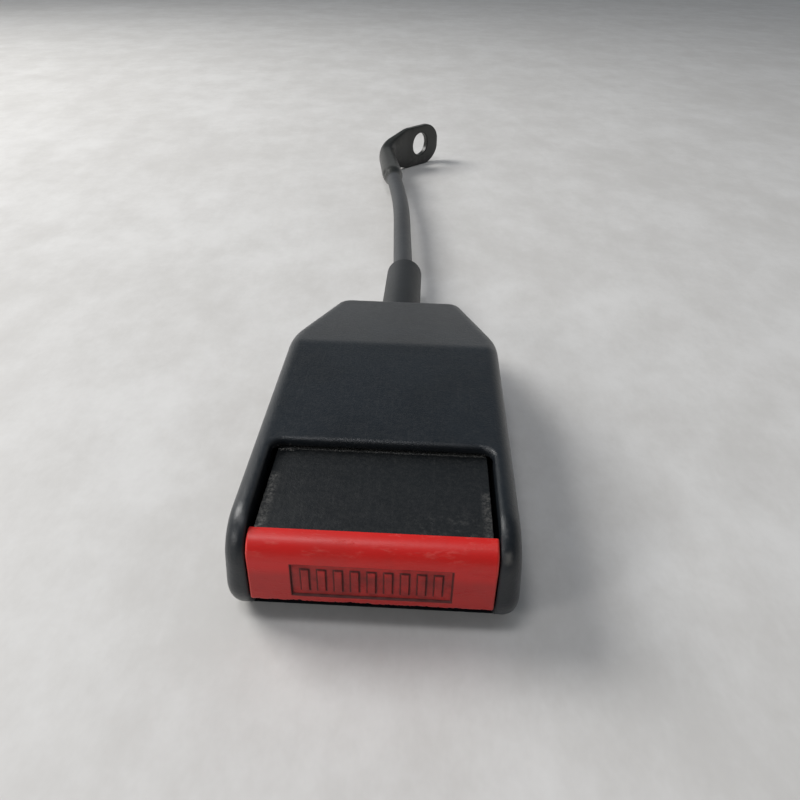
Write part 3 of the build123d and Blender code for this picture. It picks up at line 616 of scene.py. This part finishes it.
def knocked(plastic):
    """Dust in the recess's left rear corner and a grey knock on the right cheek."""
    crumbs = plastic.ramp(plastic.cloud(2100, 2, 0.5), 0.56, 0.64)
    corner = spot(plastic, (-23.4, -19.5), (26.8, 28.7), (20.5, 22.5), 0.6)
    scuff = spot(plastic, (24.6, 24.7), (-1.0, 1.8), (19.7, 20.4), 1.1)
    return crumbs * corner * 1.2 + plastic.cloud(1300, 4, 0.7) * scuff * 1.2


top_plastic = moulded(
    "top_plastic", housing_black, 0.33, grain=0.00008, dust=0.06, own_marks=knocked, rounded=0.0018
)
dress(top_plastic, "top_cover")

# ---------------------------------------------------------------- stalk
# Steel wire rope in an extruded plastic sheath, with a rubber sleeve where it leaves the
# housing. The rope's ends are swaged into the two terminals.

wire_rope = plated("wire_rope", (0.45, 0.44, 0.42, 1), 0.35)
dress(wire_rope, "cable_core")

sheath_grey = (0.040, 0.043, 0.047, 1)
sheath_plastic = moulded("sheath_plastic", sheath_grey, 0.42, grain=0.00003, dust=0.10)
dress(sheath_plastic, "cable_sheath")

sleeve_black = (0.0125, 0.0150, 0.0175, 1)
sleeve_rubber = moulded("sleeve_rubber", sleeve_black, 0.50, grain=0.00005, dust=0.08)
dress(sleeve_rubber, "collar_sleeve")

# ---------------------------------------------------------------- anchor terminal
# A steel tube swaged on the rope, bent to one side and pressed flat into a blade on its edge,
# with a hole for the bolt. Dipped in black paint, which has gone brown under the hole.

# sizes in mm: where the tube starts, back from the mouth, its bend, the hole, the widths
leg_start, leg_heading = (-9.91, 260.55), np.radians(98.8)
bend_start, bend_radius, bend_angle = 39.02, 12.0, np.radians(48.8)
hole_run, hole_radius, hole_edge, hole_height = 70.58, 6.0, 0.4, 11.5
tube_width, tube_middle, blade_width, blade_height = 9.8, 10.0, 3.0, 21.3
round_start = hole_run + 4.5
swaged_share, swaged_run = 0.725, 6.5
dent_depth, dent_run, dent_turn = 0.8, 5.5, 2.75
on_seam = 1e-5

# stations along the middle of the tube and blade, in mm, close together at hole and tip
across_hole = np.sin(np.linspace(-np.pi / 2, np.pi / 2, 49))
run = np.unique(np.round(np.concatenate([
    np.linspace(0, 5, 16), np.linspace(5, 38, 45), np.linspace(38, 62, 61),
    hole_run + hole_radius * across_hole,
    hole_run + (hole_radius + hole_edge) * across_hole,
    round_start + blade_height / 2 * np.sin(np.linspace(0, np.pi / 2 - 0.02, 40)),
]), 4))
heading = leg_heading - np.clip((run - bend_start) / bend_radius, 0, bend_angle)
ahead = np.stack([np.cos(heading), np.sin(heading)], axis=1)
steps = (ahead[1:] + ahead[:-1]) / 2 * np.diff(run)[:, None]
middle_line = np.array(leg_start) + np.concatenate([[(0, 0)], np.cumsum(steps, axis=0)])

# share of the way from round tube to flat blade, averaged over 8 mm, and what it gives
even = np.linspace(-10, 100, 1101)
window = np.hanning(81) / np.hanning(81).sum()
pressed = np.interp(even, (0, 12, 39, 49.2, 59.6), (0, 0, 0.22, 0.64, 1))
share = np.interp(run, even, np.convolve(np.pad(pressed, 40, "edge"), window, "valid"))
to_tip = np.clip((run - round_start) / (blade_height / 2), 0, 1)
swaged = swaged_share + (1 - swaged_share) * smooth(run / swaged_run)
thick = (tube_width + share * (blade_width - tube_width)) / 2 * swaged
thick = thick * (1 - to_tip ** 14) ** 0.3
tall = (tube_width + share ** 1.5 * (blade_height - tube_width)) / 2 * swaged
tall = tall * np.sqrt(1 - to_tip ** 2)
centre = tube_middle + share * (blade_height / 2 - tube_middle)
past_hole = smooth((run - hole_run - hole_radius - hole_edge) / 6)
seam = centre + (hole_height - centre) * smooth((run - 50) / 10) * (1 - past_hole)

# half section: a superellipse from one face over the edge to the other face, which starts
# where the hole's rim is, then back along the hole's wall
power = (2 + 6 * share ** 2)[:, None]
turn_round = np.linspace(0, np.pi, 45)
reach = (abs(np.cos(turn_round)) ** power + abs(np.sin(turn_round)) ** power) ** (-1 / power)
from_hole = abs(run - hole_run)
rim_open = np.sqrt(np.clip((hole_radius + hole_edge) ** 2 - from_hole ** 2, 0, None))
wall_open = np.sqrt(np.clip(hole_radius ** 2 - from_hole ** 2, 0, None))
from_dent = ((run[:, None] - dent_run) / 1.6) ** 2 + ((turn_round - dent_turn) / 0.3) ** 2
dent = dent_depth * np.exp(-from_dent)
aside = thick[:, None] * reach * np.cos(turn_round) + dent
wall_aside = (thick[:, None] - hole_edge) * np.array([-1, 0, 1])
halves, seams = [], []
for side in (1, -1):
    room_left = side * (centre - seam) + tall - rim_open
    rise = rim_open[:, None] + room_left[:, None] * reach * np.sin(turn_round)
    rise = np.concatenate([rise, np.repeat(wall_open[:, None], 3, axis=1)], axis=1)
    out = np.concatenate([aside, wall_aside], axis=1)
    ring = np.zeros(rise.shape + (3,))
    ring[..., 0] = middle_line[:, :1] + out * ahead[:, 1:]
    ring[..., 1] = middle_line[:, 1:] - out * ahead[:, :1] + mouth / mm
    ring[..., 2] = seam[:, None] + side * rise
    halves.append(ring * mm)
    seams.append(rise < on_seam)


def rusted(paint):
    """Brown stain under the bolt hole and in the crook of the bend."""
    under = spot(paint, (-4, 4), (318.8, 328.8), (1, 5), 3)
    crook = spot(paint, (-13, -9), (304.8, 310.8), (4, 16), 3)
    return paint.ramp(paint.cloud(420, 5, 0.7), 0.42, 0.7) * (under * 0.28 + crook * 0.16)


paint_black = (0.014, 0.0150, 0.0125, 1)
painted_steel = moulded(
    "painted_steel", paint_black, 0.34, grain=0.00003, dust=0.08, own_marks=rusted
)
anchor_mesh = closed_mesh("anchor", *halves, seams=seams)
anchor = fit("anchor", anchor_mesh, painted_steel, "painted_steel", "anchor_terminal")
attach(anchor, "housing")
